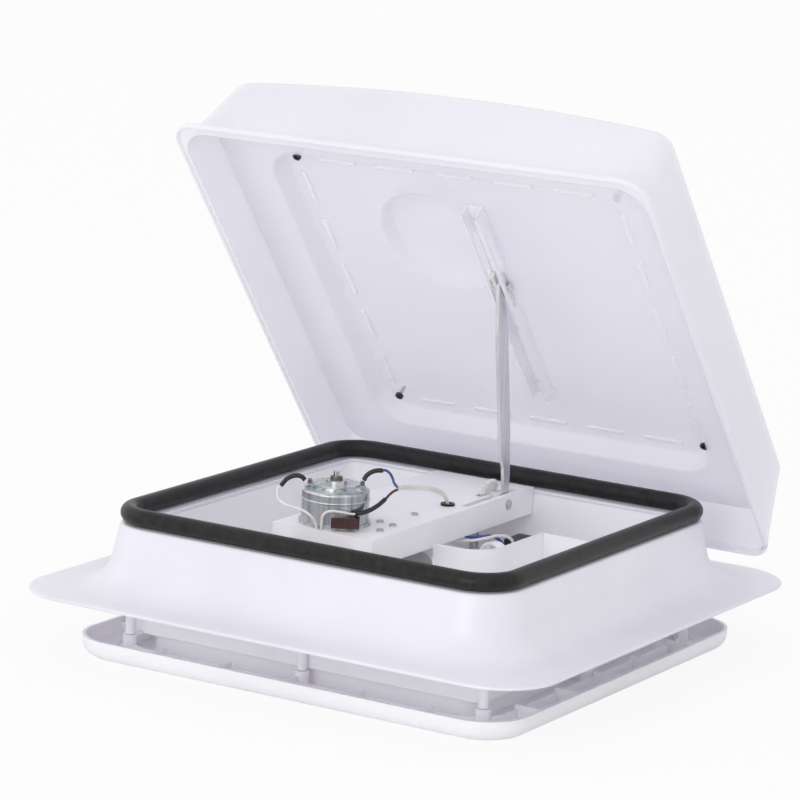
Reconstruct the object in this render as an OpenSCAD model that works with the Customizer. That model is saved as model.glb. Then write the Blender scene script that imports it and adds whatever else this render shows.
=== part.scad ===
// Caravan roof vent with a fan: a flange on the roof, a trim ring under the ceiling, and a lid that a
// crank lifts through a worm, a gear sector and an arm. Millimetres, drawn with the lid fully open.
// Origin: middle of the roof cut-out on the flange's underside. +Z up, +Y towards the lid's hinge.

/* [Roof flange] */
// Half width of the flange that lies on the roof
flange_half = 239; // [232:1:250]
// Corner radius of the flange
flange_corner = 50; // [40:1:60]
// Wall thickness of the flange moulding
flange_wall = 3; // [2.5:0.1:3.5]
// Half width of the collar at its top
collar_half = 184; // [183:0.5:186]
// Height of the collar's top above the roof
collar_top = 55.5; // [50:0.5:58]
// Half width of the duct inside the collar
duct_half = 165; // [163:0.5:166]
// Half width of the neck that hangs through the roof
neck_half = 158; // [157:0.5:160]

/* [Rim gasket] */
// Half width of the gasket's centre line
gasket_half = 177; // [176:0.5:178]
// Radius of the gasket's bulb
gasket_r = 7.5; // [6.5:0.1:8]

/* [Trim ring] */
// Half width of the trim ring
trim_half = 204.5; // [200:0.5:215]
// Corner radius of the trim ring
trim_corner = 40; // [36:1:50]
// Top of the trim ring's outer wall, below the roof face
trim_drop = 37; // [30:1:45]
// Height of the trim ring
trim_h = 17; // [16:0.5:22]

/* [Lid] */
// Half width of the lid's rim band
lid_half = 220; // [216:1:226]
// Height of the lid's rim band
band_h = 5; // [4:0.5:8]
// Wall thickness of the lid
lid_wall = 2.5; // [2:0.1:3]
// Rise of the lid's arched top, middle over sides
crown_rise = 13; // [8:0.5:16]
// How far the lid is open
lid_open = 51.3; // [40:0.1:55]

/* [Lid lift] */
// Length of the lift arm between its pins
arm_len = 190; // [185:0.5:195]
// Thickness of the lift arm
arm_thick = 3; // [2.5:0.1:3.5]
// Teeth in a full turn of the gear sector
sector_teeth = 24; // [24:1:24]
// Gear module of sector and worm
gear_module = 1.5; // [1.45:0.01:1.55]

/* [Motor and fan] */
// Radius of the motor's can
can_r = 27.5; // [25:0.5:29]
// Height of the motor's can
can_h = 28.5; // [26:0.5:30]
// Radius of the fan's blades
fan_r = 77; // [70:1:78]
// Number of fan blades
blade_count = 6; // [4:1:8]
// Radius of the motor's shaft
shaft_r = 2.5; // [2:0.1:3]

/* [Hidden] */
$fn = 64;

white = [0.93, 0.93, 0.94];
milky = [0.88, 0.88, 0.93];
black = [0.05, 0.05, 0.06];
zinc = [0.62, 0.63, 0.65];
bright = [0.8, 0.81, 0.83];
dark = [0.17, 0.17, 0.19];
blue = [0.12, 0.2, 0.55];

slack = 0.05;   // running fits and screw holes, on the radius
loose = 0.2;    // holes of fixed pins and beads in large mouldings
gap = 0.4;      // between pieces that only lie beside each other
play = 1;       // between the lid lift's sliding pieces
bite = 0.5;     // one shape sunk into another of the same piece
past = 1;       // how far a cut runs on past a face
screw_r = 1.5;  // shank of all small screws
screw_head = 3;

// flange moulding
corner_mid = 146;                      // corner centre shared by collar and gasket
duct_corner = 8;
skirt_mid_z = 28;
skirt_mid_half = collar_half + 6;
skirt_r = 33;
skirt_foot = skirt_mid_half + 32;
skirt_axis_z = flange_wall + skirt_r;
ledge_top = 6;
neck_drop = trim_drop - 1;
bead_w = 2.4;
bead_top = collar_top + 5.5;
post_half = 165.5;
post_r = 4;
post_hole = 1.6;
post_places = [[1, 1], [1, -1], [-1, 1], [-1, -1], [1, 0], [-1, 0], [0, 1], [0, -1]];
gasket_z = collar_top + 0.2 + gasket_r;
seal_z = gasket_z + gasket_r + 0.3;    // the closed lid's sealing band
deck_screw_x = 110;
deck_screw_r = 1.2;
deck_screw_half = neck_half + flange_wall + deck_screw_r + loose;
deck_screw_places = [for (x = [-1, 1], y = [-1, 1]) [x * deck_screw_x, y * deck_screw_half]];

// lid, drawn closed and then swung about its hinge
hinge_y = 200.7;
hinge_z = 28.5;
hinge_r = 3;
knuckle_r = 7;
knuckle_x = 120;
knuckle_w = 13.4;
ear_w = 5;
lid_front = -222.5;
lid_rear = 220.5;
lid_mid = (lid_front + lid_rear) / 2;
lid_half_y = (lid_rear - lid_front) / 2;
lid_rim_z = 36;
band_top = lid_rim_z + band_h;
crown_foot = lid_half - 3;             // half width of the dome's wall at its foot
crown_top_half = crown_foot - 12;
lid_side_z = 117;                      // the top's height along its sides
arch_r = crown_top_half * crown_top_half / (2 * crown_rise);
arch_z = lid_side_z + crown_rise - arch_r;
dome_low = band_top - lid_wall;
dome_wall_top = lid_side_z - 12;       // the shoulder starts here
dome_wall_h = dome_wall_top - dome_low;
dome_lean = 0.163;                     // draft of front and sides, per mm of height
rear_lean = 0.28;
dome_front = lid_front + 19;           // front and rear wall where the shoulder starts
dome_rear = lid_rear - 23.5;
tray_z = 90;                           // underside of the tray's middle
tray_thick = 2;
tray_step = 165;
tray_half = crown_foot - 9;
tray_front = lid_front + 17;
tray_rear = lid_rear - 18;
cup_r = 55;
cup_top = 108;
lid_screw_x = 151;
lid_screw_y = [-144.5, 150.5];
lid_screw_places = [for (x = [-1, 1], y = lid_screw_y) [x * lid_screw_x, y]];

// motor bridge
deck_z = 58;
plate = 3;
bridge_left = -78;
bridge_right = 18;
bridge_front = -96;
bridge_rear = duct_half - gap;
bridge_skirt = 23;
bridge_screw_x = [-58, -24];
bridge_screw_z = 46;
leg_places = [[-64, -153], [4, -153]];
deck_marks = [[-12, -37], [3, -41.5], [4.4, -63.6], [-4, 4.4]];
grommet_place = [-2, 54];
grommet_r = 4;
motor_x = -40;
motor_y = -62;
motor_turn = 31;                       // the motor's terminals and suppressor, turned from +X
motor_screw_out = 14;
motor_screw_places = [for (side = [-1, 1]) [motor_x + side * motor_screw_out, motor_y]];
can_top = deck_z + can_h;
cap_boss_r = 9;
cap_boss_h = 7;
cap_bush_r = 5;
lead_r = 1.1;
sleeve_r = 1.9;
core_r = 1.3;

// fan deck
floor_low = ledge_top;
floor_top = floor_low + plate;
shroud_r = fan_r + 4;
shroud_low = -12;
shroud_top = 28;
box_wall_top = 40;
box_wall = 2.5;
bush_r = 7;
fan_low = -2;
fan_h = 22;

// lid lift
arm_x = 10;
pivot_y = 122;
pivot_z = 50;
pivot_r = 4;
bracket = [-12, -8];                   // the crank bracket's upright
pin_z = 84;                            // tip pin's height with the lid closed
pin_r = 2.5;
reach = hinge_y - pivot_y;
pin_rise = pin_z - hinge_z;
pivot_rise = pivot_z - hinge_z;
arm_angle = lid_open + asin((pin_rise + reach * sin(lid_open) - pivot_rise * cos(lid_open)) / arm_len);
tip_y = pivot_y - arm_len * cos(arm_angle);
tip_z = pivot_z + arm_len * sin(arm_angle);
sector_r = gear_module * sector_teeth / 2;
worm_r = 6;
worm_y = pivot_y - sector_r - worm_r;
tooth_up = 0.85 * gear_module;
tooth_down = 1.1 * gear_module;
tooth_pitch = PI * gear_module;
tooth_half = tooth_pitch / 4 - 0.32;
flank = tan(20);
sector_w = 4;
crank_r = 4;
worm_high = 54;
rivet_r = 1.2;
rivet_places = [[-6.5, 0], [0, -6.3]];
hub_r = 9;
track_in = 6;
track_wall = 2;
track_front = -113;
track_rear = 110;
track_web = 2;
track_low = pin_z - 7;
track_screw_places = [for (y = [-100, 30, 96]) [arm_x, y]];
slot_front = pivot_y - arm_len - 18;
slot_rear = slot_front + 80;

// room side
trim_low = -trim_drop - trim_h;
trim_mid = trim_half - trim_corner;
trim_round = 12;
upstand = 2.5;
upstand_top = -8;
neck_clear = 3.5;                      // between the trim ring's upstand and the neck
opening_half = neck_half - upstand - neck_clear;
opening_mid = opening_half - 12;
screen_z = -18;
screen_h = 4;
screen_ring = 9;                       // hole for the crank in screen and frame
knob_low = trim_low + 1;
knob_top = knob_low + 14;
knob_r = 17;
handle_len = 26;
handle_y = worm_y - knob_r + 4;
handle_z = knob_low + 4;
switch_x = 122;
panel_z = -40;
switch_neck_r = 3.4;
switch_shaft_r = 2.5;
switch_shaft = 8;
panel_size = 27;                       // from the switch's middle to the panel's edge

// A square with rounded corners, all arcs true circles
module rounded(half_x, half_y, r) {
  square([2 * half_x - 2 * r, 2 * half_y], center = true);
  square([2 * half_x, 2 * half_y - 2 * r], center = true);
  for (x = [-1, 1], y = [-1, 1])
    translate([x * (half_x - r), y * (half_y - r)]) circle(r);
}

// A square tube of the flange's wall, given by its inside
module tube(half, corner, low, high) {
  out = half + flange_wall;
  translate([0, 0, low]) linear_extrude(high - low) difference() {
    rounded(out, out, corner + flange_wall);
    rounded(half, half, corner);
  }
}

// Runs a cross-section round a square: its x is the distance from the corner centres
module around(mid) {
  for (turn = [0:90:270])
    rotate([0, 0, turn])
      translate([mid, mid, 0]) {
        rotate_extrude(angle = 90) children();
        rotate([90, 0, 0]) linear_extrude(2 * mid) children();
      }
}

// Flat shape in Y and Z, drawn out along X from one x to another
module along_x(from, to) {
  translate([from, 0, 0]) rotate([90, 0, 90]) linear_extrude(to - from) children();
}

module box(low, high) {
  translate(low) cube(high - low);
}

// A round hole or peg of given radius standing on a list of places
module pegs(places, low, high, r) {
  for (p = places)
    translate([p[0], p[1], low]) cylinder(r = r, h = high - low);
}

function unit(v) = v / norm(v);
// A point a step past the end of a path, and one a step before its start
function onward(path, step) = let (n = len(path) - 1) path[n] + step * unit(path[n] - path[n - 1]);
function before(path, step) = path[0] - step * unit(path[1] - path[0]);

// Swings a piece drawn with the lid closed into the open lid
module on_lid() {
  translate([0, hinge_y, hinge_z])
    rotate([-lid_open, 0, 0])
      translate([0, -hinge_y, -hinge_z]) children();
}

// Lays a flat shape, its x along the arm and its y to the arm's rear, in the open arm's plane
module on_arm(from, to) {
  translate([0, pivot_y, pivot_z]) along_x(from, to) rotate(180 - arm_angle) mirror([0, 1]) children();
}

// Cross-head screw: the head lies above z = 0, the shank goes down
module screw(head_r, head_h, shank_r, shank_len) {
  difference() {
    cylinder(r = head_r, h = head_h);
    for (turn = [0, 90])
      rotate([0, 0, turn])
        translate([0, 0, head_h]) cube([1.3 * head_r, 0.3 * head_r, head_h], center = true);
  }
  translate([0, 0, -shank_len]) cylinder(r = shank_r, h = shank_len + bite);
}

// A round wire through a row of points, with closed ends
module wire(points, r) {
  sides = 8;
  last = len(points) - 1;
  function along(i) = points[min(i + 1, last)] - points[max(i - 1, 0)];
  function side(i) = unit(cross(along(i), [0.31, 0.17, 0.93]));
  function over(i) = unit(cross(along(i), side(i)));
  rings = [for (i = [0:last], k = [0:sides - 1])
    points[i] + r * (cos(360 * k / sides) * side(i) + sin(360 * k / sides) * over(i))];
  skin = [for (i = [0:last - 1], k = [0:sides - 1], half = [0, 1])
    let (n = (k + 1) % sides, a = i * sides)
      half == 0 ? [a + k, a + sides + k, a + sides + n] : [a + k, a + sides + n, a + n]];
  start = [[for (k = [0:sides - 1]) k]];
  end = [[for (k = [sides - 1:-1:0]) last * sides + k]];
  polyhedron(rings, concat(skin, start, end));
}

// Outer moulding of the base: flange, hollow skirt, collar with the gasket's bead, hinge ears
module roof_flange() {
  foot = skirt_foot - bite;
  ear_off = knuckle_w / 2 + 0.8 + ear_w / 2;
  color(white) difference() {
    union() {
      linear_extrude(flange_wall) difference() {
        rounded(flange_half, flange_half, flange_corner);
        rounded(foot, foot, foot - corner_mid);
      }
      around(corner_mid) translate([-corner_mid, 0]) flange_section();
      translate([0, 0, collar_top - flange_wall]) linear_extrude(flange_wall) difference() {
        rounded(collar_half - bite, collar_half - bite, collar_half - bite - corner_mid);
        rounded(duct_half, duct_half, duct_corner);
      }
      for (side = [-1, 1], w = [-1, 1])
        translate([side * knuckle_x + w * ear_off, 0, 0]) along_x(-ear_w / 2, ear_w / 2) hinge_ear();
    }
    hinge_bore();
  }
}

// Cross-section of skirt and collar, x measured from the vent's middle
module flange_section() {
  foot = [skirt_foot, skirt_axis_z];
  mid = [skirt_mid_half, skirt_mid_z];
  below = -20;
  intersection() {
    translate(foot) difference() {
      circle(skirt_r + flange_wall);
      circle(skirt_r);
    }
    polygon([foot, 2 * mid - foot, [skirt_foot - 80, below], [skirt_foot, below]]);
  }
  polygon([mid, [collar_half, collar_top], [collar_half - flange_wall, collar_top],
    mid - [flange_wall, flange_wall / 4]]);
  translate([gasket_half - bead_w / 2, collar_top - bite]) square([bead_w, bead_top - collar_top + bite]);
}

module hinge_ear() {
  low = flange_wall - bite;
  translate([hinge_y, hinge_z]) circle(knuckle_r);
  polygon([[hinge_y - knuckle_r, hinge_z], [hinge_y + knuckle_r, hinge_z], [hinge_y + knuckle_r + 2, low],
    [hinge_y + 6, low], [skirt_mid_half - 1.5, skirt_mid_z - 2]]);
}

module hinge_bore() {
  along_x(-knuckle_x - 20, knuckle_x + 20) translate([hinge_y, hinge_z]) circle(hinge_r + slack);
}

// Inner moulding, welded under the collar: duct, ledge of the fan deck, neck through the roof, posts
module duct_liner() {
  rib_half = 1;
  rib_low = -neck_drop + 2;
  rib_top = ledge_top - 2 * bite;
  posts = post_half * post_places;
  wall_top = collar_top - flange_wall - slack;
  ledge_low = ledge_top - flange_wall;
  neck_corner = 6;
  out = duct_half + flange_wall;
  color(white) difference() {
    union() {
      tube(duct_half, duct_corner, ledge_low, wall_top);
      translate([0, 0, ledge_low]) linear_extrude(flange_wall) difference() {
        rounded(out, out, duct_corner + flange_wall);
        rounded(neck_half, neck_half, neck_corner);
      }
      tube(neck_half, neck_corner, -neck_drop, ledge_top);
      pegs(posts, -trim_drop + gap, ledge_top - bite, post_r);
      for (p = post_places)
        rotate([0, 0, atan2(p[1], p[0])])
          box([p[0] * p[1] == 0 ? neck_half + 1 : neck_half + 64, -rib_half, rib_low],
            [norm(p) * post_half, rib_half, rib_top]);
    }
    pegs(posts, -trim_drop - past, -trim_drop + 25, post_hole);
    pegs(deck_screw_places, floor_low - 4.5, floor_low + past, deck_screw_r + slack);
    for (x = bridge_screw_x)
      translate([x, duct_half - past, bridge_screw_z])
        rotate([-90, 0, 0]) cylinder(r = screw_r + slack, h = flange_wall + 2 * past);
  }
}

// Rubber bulb strip pushed over the collar's bead
module rim_gasket() {
  color(black) around(corner_mid) translate([gasket_half - corner_mid, 0]) difference() {
    translate([0, gasket_z]) circle(gasket_r);
    translate([-bead_w / 2 - loose, 0]) square([bead_w + 2 * loose, bead_top + loose]);
    translate([0, gasket_z + 2.6]) circle(2.2);
  }
}

// Steel pins that carry the lid
module hinge_pins() {
  pin_end = knuckle_w / 2 + 0.8 + ear_w + 1;
  color(zinc) for (side = [-1, 1])
    along_x(side * knuckle_x - pin_end, side * knuckle_x + pin_end)
      translate([hinge_y, hinge_z]) circle(hinge_r);
}

// Floor over the neck with the fan's shroud ring and the wall of the wiring compartment
module fan_deck() {
  bend = 25;
  box_front = -4;
  box_side = 69;
  box_rear = 91;
  box_left = bridge_right + 3;
  deck_half = duct_half - gap;
  low = floor_low - past;
  high = floor_top + past;
  color(white) difference() {
    union() {
      translate([0, 0, floor_low]) linear_extrude(plate) rounded(deck_half, deck_half, duct_corner);
      pegs([[motor_x, motor_y]], shroud_low, shroud_top, shroud_r + 2);
      translate([0, 0, floor_top - bite]) linear_extrude(box_wall_top - floor_top + bite) {
        translate([box_left, box_front - box_wall]) square([box_side - bend - box_left, box_wall]);
        translate([box_side - bend, box_front + bend]) intersection() {
          difference() {
            circle(bend + box_wall);
            circle(bend);
          }
          translate([0, -2 * bend]) square(2 * bend);
        }
        translate([box_side, box_front + bend]) square([box_wall, box_rear - box_front - bend]);
        translate([box_side, box_rear - box_wall]) square([deck_half - box_side, box_wall]);
      }
    }
    pegs([[motor_x, motor_y]], shroud_low - past, shroud_top + past, shroud_r);
    pegs(deck_screw_places, low, high, deck_screw_r + slack);
    pegs(leg_places, low, high, screw_r + slack);
    pegs([[0, worm_y]], low, high, bush_r + slack);
  }
}

// Screws of the fan deck
module deck_screws() {
  color(zinc) for (p = deck_screw_places)
    translate([p[0], p[1], floor_top]) screw(2 * deck_screw_r, 2, deck_screw_r, plate + 3);
}

// Platform over the fan: carries motor, arm pivot and crank, stands on two front legs
module motor_bridge() {
  low = deck_z - bridge_skirt;
  inside = deck_z - plate;
  top = deck_z + past;
  arm_slot = arm_thick / 2 + 1.5;
  sector_slot = sector_w / 2 + 1.5;
  hub_slot = hub_r + 3;
  color(white) difference() {
    union() {
      difference() {
        box([bridge_left, bridge_front, low], [bridge_right, bridge_rear, deck_z]);
        box([bridge_left + plate, bridge_front + plate, low - past],
          [bridge_right - plate, bridge_rear - plate, inside]);
      }
      for (p = leg_places)
        translate([p[0], p[1], 0]) bridge_leg(low + 12, bridge_front + bite - p[1]);
    }
    box([arm_x - arm_slot, 60, inside - past], [arm_x + arm_slot, pivot_y + 25, top]);
    box([-sector_slot, worm_y + 2, inside - past], [sector_slot, pivot_y + hub_slot, top]);
    box([-sector_slot, pivot_y - hub_slot, inside - past], [arm_x + arm_slot, pivot_y + hub_slot, top]);
    along_x(bridge_right - plate - past, bridge_right + past)
      translate([pivot_y, pivot_z]) circle(pivot_r + loose);
    pegs([[motor_x, motor_y]], inside - past, top, shaft_r + 3);
    pegs(motor_screw_places, inside - past, top, screw_r + slack);
    pegs(deck_marks, inside - past, top, screw_r + slack);
    pegs(leg_places, floor_top - past, floor_top + plate + past, screw_r + slack);
    pegs([grommet_place], inside - past, top, grommet_r + slack);
    for (x = bridge_screw_x)
      translate([x, bridge_rear - plate - past, bridge_screw_z])
        rotate([-90, 0, 0]) cylinder(r = screw_r + slack, h = plate + 2 * past);
  }
}

// One leg of the bridge: beam forward, upright, foot on the deck
module bridge_leg(beam_top, beam_len) {
  half = 5;
  beam_h = 8;
  foot_front = -9;
  foot_rear = 7;
  box([-half, -half, beam_top - beam_h], [half, beam_len, beam_top]);
  box([-half, foot_front, floor_top], [half, foot_rear, floor_top + plate]);
  box([-half, foot_rear - plate, floor_top], [half, foot_rear, beam_top]);
}

// Bracket welded under the bridge's top: one end of the pivot pin, upper guide of the crank's shaft
module crank_bracket() {
  low = 34;
  shelf_top = low + plate;
  shelf_front = worm_y - 10;
  shelf_rear = worm_y + 8;
  top = deck_z - plate - slack;
  right = bridge_right - plate - slack;
  color(white) difference() {
    union() {
      box([bracket[0], shelf_front, low], [bracket[1], pivot_y + hub_r + 3, top]);
      box([bracket[0], shelf_front, low], [right, shelf_rear, shelf_top]);
    }
    along_x(bracket[0] - past, bracket[1] + past) translate([pivot_y, pivot_z]) circle(pivot_r + loose);
    pegs([[0, worm_y]], low - past, shelf_top + past, crank_r + slack);
  }
}

// Screws through the bridge: four in its top, two in its rear wall, one in each leg
module bridge_screws() {
  head_h = 1.6;
  color(dark) {
    for (p = deck_marks)
      translate([p[0], p[1], deck_z]) screw(screw_head, head_h, screw_r, plate + 3);
    for (p = leg_places)
      translate([p[0], p[1], floor_top + plate]) screw(screw_head, head_h, screw_r, 2 * plate + 1);
    for (x = bridge_screw_x)
      translate([x, bridge_rear - plate, bridge_screw_z])
        rotate([90, 0, 0]) screw(screw_head, head_h, screw_r, plate + gap + 2.5);
  }
}

// Drawn steel can with a base ring and a rolled bead under its top edge
module motor_can() {
  edge = 2;
  base_h = 2.5;
  bead_drop = 8;
  color(zinc) translate([motor_x, motor_y, deck_z]) difference() {
    rotate_extrude() {
      square([can_r, can_h - edge]);
      square([can_r - edge, can_h]);
      translate([can_r - edge, can_h - edge]) circle(edge);
      square([can_r + edge, base_h]);
      translate([can_r - 0.6, can_h - bead_drop]) circle(1.2);
    }
    pegs([[0, 0]], -past, can_h + past, shaft_r + slack);
    pegs([[-motor_screw_out, 0], [motor_screw_out, 0]], -past, 5, screw_r + slack);
  }
}

// Stepped cap on the can with a ring of cooling ribs
module motor_end_cap() {
  rib = [6, 2.4, 3.2];
  color([0.7, 0.71, 0.73]) translate([motor_x, motor_y, can_top]) difference() {
    union() {
      cylinder(r = can_r - 3, h = 1.6);
      cylinder(r = can_r - 8, h = 4);
      for (turn = [0:30:330])
        rotate([0, 0, turn]) translate([can_r - 10, -rib[1] / 2, 0]) cube(rib);
      cylinder(r = cap_boss_r, h = cap_boss_h);
    }
    pegs([[0, 0]], -past, cap_boss_h + past, cap_bush_r + slack);
  }
}

// Bearing bush in the end cap
module motor_bush() {
  color([0.78, 0.66, 0.42]) translate([motor_x, motor_y, can_top]) difference() {
    cylinder(r = cap_bush_r, h = cap_boss_h + 2.5);
    pegs([[0, 0]], -past, cap_boss_h + 2.5 + past, shaft_r + slack);
  }
}

// Brush terminals on the can's top edge, where the leads start
module motor_terminals() {
  size = [3, 7, 2.8];
  color([0.75, 0.62, 0.35]) translate([motor_x, motor_y, can_top + cap_boss_h - 2.3])
    rotate([0, 0, motor_turn]) for (side = [-1, 1])
      translate([side * (can_r - 6), 0, 0]) cube(size, center = true);
}

// Screws that hold the motor from below
module motor_screws() {
  color(zinc) for (p = motor_screw_places)
    translate([p[0], p[1], deck_z - plate])
      mirror([0, 0, 1]) screw(screw_head, 2, screw_r, plate + 4.5);
}

// Dark interference suppressor against the can
module suppressor_block() {
  long = 23;
  high = 9;
  off = 9;
  color([0.16, 0.07, 0.06]) translate([motor_x, motor_y, deck_z + 2.6]) rotate([0, 0, motor_turn])
    difference() {
      translate([off - long / 2, -can_r - 7, 0]) cube([long, high, high]);
      pegs([[0, 0]], -past, high + past, can_r + gap);
    }
}

left_sleeve = [[-61.8, -75, 91.6], [-64, -76, 94], [-68.5, -78.5, 95], [-74, -81, 92.5], [-79, -84, 86]];
right_sleeve = [[-21.1, -50.6, 93.8], [-19.3, -48.9, 97.8], [-14.5, -45.5, 101.5], [-8.7, -41.5, 102.3]];
red_sleeve = [[-12.5, -76, 71.5], [-8.8, -66, 72], [-6, -53, 75], [-6, -41, 78.5]];
lead_gap = 0.1;   // between a lead's end and its sleeve
lead_in = 1.8;    // how far a lead runs straight on from its sleeve

// White lead from the left terminal down to the deck in front of the motor
module lead_white_left() {
  color(white) wire([onward(left_sleeve, lead_gap), onward(left_sleeve, lead_in), [-80.2, -87, 81],
    [-76, -91, 76.5], [-66, -95.5, 74], [-52, -98.5, 73.5], [-41, -98, 69.5], [-37.5, -95.2, 63],
    [-37, -93.5, deck_z + bite]], lead_r);
}

// White lead from the deck over the suppressor to the dark red lead
module lead_white_front() {
  color(white) wire([[-33, -93.5, deck_z + bite], [-32.4, -94, 65], [-31, -94, 71], [-27, -92, 74],
    [-19.5, -85.5, 73.5], before(red_sleeve, lead_in), before(red_sleeve, lead_gap)], lead_r);
}

// Dark red lead to the feed cable
module lead_red() {
  color([0.35, 0.09, 0.07]) wire([onward(red_sleeve, lead_gap), onward(red_sleeve, lead_in),
    [-6.8, -34, 80.5], [-8, -25, 82], [-9.2, -17.2, 82]], lead_r);
}

// Blue lead to the feed cable
module lead_blue() {
  color(blue) wire([onward(right_sleeve, lead_gap), onward(right_sleeve, lead_in), [-5.6, -36.5, 99.8],
    [-6, -31, 95], [-7.8, -24.5, 89], [-9.1, -17.6, 84.6]], lead_r);
}

// Black insulating sleeves over the lead ends
module lead_sleeves() {
  color(black) {
    wire(left_sleeve, sleeve_r);
    wire(right_sleeve, sleeve_r);
    wire(red_sleeve, sleeve_r);
  }
}

// Flat two-core cable from the leads down through the grommet
module feed_cable() {
  path = [[-9.2, -16.8, 83], [-11.5, -6, 81.5], [-12.5, 8, 79], [-10.5, 24, 76.5], [-7, 40, 72.5],
    [-3.4, 50.5, 66.5], [-2, 54, 58.5], [-2, 54, 48]];
  color([0.9, 0.89, 0.86]) {
    wire([for (p = path) p + [0, 0, 1]], core_r);
    wire([for (p = path) p + [-0.3, 0.3, -1]], core_r);
  }
}

// Rubber grommet where the cable goes through the bridge
module cable_grommet() {
  color(black) translate([grommet_place[0], grommet_place[1], deck_z]) difference() {
    union() {
      cylinder(r = grommet_r + 2, h = 1.8);
      pegs([[0, 0]], -plate, bite, grommet_r);
    }
    pegs([[0, 0]], -plate - past, 1.8 + past, grommet_r - 0.8);
  }
}

// Terminal block on the compartment's floor, one mouth for each wire
module terminal_block() {
  color(black) difference() {
    box([30, 96, floor_top], [60, 122, floor_top + 18]);
    for (x = [37, 44.5, 52])
      box([x - 2.5, 95, floor_top + 5], [x + 2.5, 103, floor_top + 13]);
  }
}

// Blue wire from the terminal block up to the feed cable under the bridge
module box_lead_blue() {
  color(blue) wire([[37, 100, 18], [37, 93, 18.4], [36.4, 88, 22], [34, 82, 28.5], [29, 77, 32.5],
    [22, 71, 32], [12, 63, 32], [4, 58, 38], [-1.2, 55, 46]], core_r);
}

// White wire beside it, in a wider bow
module box_lead_white() {
  color(white) wire([[44.5, 100, 18], [44.5, 93, 18.4], [45.4, 87, 24], [46, 78, 33], [42, 66, 37],
    [34, 58, 35], [22, 52, 32], [8, 50, 32], [1, 51, 38], [-3, 52.4, 45.9]], core_r);
}

// Moulded strap that arches over the wires
module box_strap() {
  inner = 13;
  thick = 2;
  rise = 12;
  color(white) translate([50, 52, floor_top]) rotate([90, 0, -20]) linear_extrude(9) difference() {
    union() {
      translate([0, rise]) circle(inner + thick);
      translate([-inner - thick, 0]) square([2 * (inner + thick), rise]);
    }
    translate([0, rise]) circle(inner);
    translate([-inner, -past]) square([2 * inner, rise + past]);
    translate([-2 * inner, -2 * inner]) square([4 * inner, 2 * inner]);
  }
}

// Pin the arm and the sector swing on
module pivot_pin() {
  head_thick = 0.8;
  color(zinc) {
    along_x(bracket[0] - bite, bridge_right + past) translate([pivot_y, pivot_z]) circle(pivot_r);
    along_x(bracket[0] - head_thick, bracket[0]) translate([pivot_y, pivot_z]) circle(pivot_r + 0.7);
  }
}

// Bush of the crank shaft in the fan deck
module crank_bush() {
  top = floor_top + 2.5;
  color(white) translate([0, worm_y, 0]) difference() {
    union() {
      pegs([[0, 0]], floor_low - 4, floor_top, bush_r);
      pegs([[0, 0]], floor_top, top, bush_r + 3);
    }
    pegs([[0, 0]], floor_low - 4 - past, top + past, crank_r + slack);
  }
}

// Ring under the ceiling: open trough with ribs, collars for the screws, a corner panel for the switch
module trim_ring() {
  wall = 3;
  flat_half = trim_half - trim_round;
  rib_pitch = 63;
  rib_half = 1.2;
  rib_from = 172;
  rib_top = -trim_drop - 4;
  rib_r = trim_round - wall + bite;
  rib_end = [for (a = [0:30:90]) [flat_half + rib_r * sin(a), trim_low + trim_round - rib_r * cos(a)]];
  tab = [4, 12, 3];
  lip_half = opening_half + upstand;
  posts = post_half * post_places;
  color(white) difference() {
    union() {
      around(trim_mid) translate([-trim_mid, 0]) {
        translate([trim_half - wall, trim_low + trim_round]) square([wall, trim_h - trim_round]);
        intersection() {
          translate([flat_half, trim_low + trim_round]) difference() {
            circle(trim_round);
            circle(trim_round - wall);
          }
          translate([flat_half, trim_low]) square([trim_round, trim_round]);
        }
      }
      translate([0, 0, trim_low]) linear_extrude(wall) difference() {
        rounded(flat_half, flat_half, flat_half - trim_mid);
        rounded(opening_half, opening_half, opening_half - opening_mid);
      }
      translate([0, 0, trim_low]) linear_extrude(upstand_top - trim_low) difference() {
        rounded(lip_half, lip_half, lip_half - opening_mid);
        rounded(opening_half, opening_half, opening_half - opening_mid);
      }
      for (turn = [0:90:270], k = [-2:2])
        rotate([0, 0, turn]) translate([k * rib_pitch, 0, 0]) along_x(-rib_half, rib_half)
          polygon([[rib_from, rib_top], [rib_from, trim_low + wall - bite], each rib_end,
            [flat_half + rib_r, rib_top]]);
      pegs(posts, trim_low, -trim_drop, post_r + 2);
      switch_panel();
      for (turn = [0:90:270])
        rotate([0, 0, turn])
          box([opening_half - tab[0], -tab[1], screen_z - tab[2]], [opening_half + bite, tab[1], screen_z]);
    }
    pegs(posts, trim_low - past, -trim_drop + past, post_hole + 0.3);
    pegs(posts, trim_low - past, trim_low + wall, post_r + loose);
    pegs([[switch_x, switch_x]], panel_z - past, panel_z + plate + past, switch_neck_r + 0.1);
  }
}

// Corner panel of the trim ring with its two side walls
module switch_panel() {
  edge = switch_x - panel_size;
  far = opening_half + bite;
  top = panel_z + plate;
  translate([0, 0, panel_z]) linear_extrude(plate) intersection() {
    rounded(far, far, far - opening_mid);
    translate([edge, edge]) square(3 * panel_size);
  }
  box([edge, edge, trim_low], [edge + 2, far, top]);
  box([edge, edge, trim_low], [far, edge + 2, top]);
}

// Screws from the trim ring up into the liner's posts
module trim_screws() {
  color(zinc) for (p = post_places)
    translate([p[0] * post_half, p[1] * post_half, trim_low + 3])
      mirror([0, 0, 1]) screw(post_r - 0.2, 2.4, screw_r, trim_h + 18);
}

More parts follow.
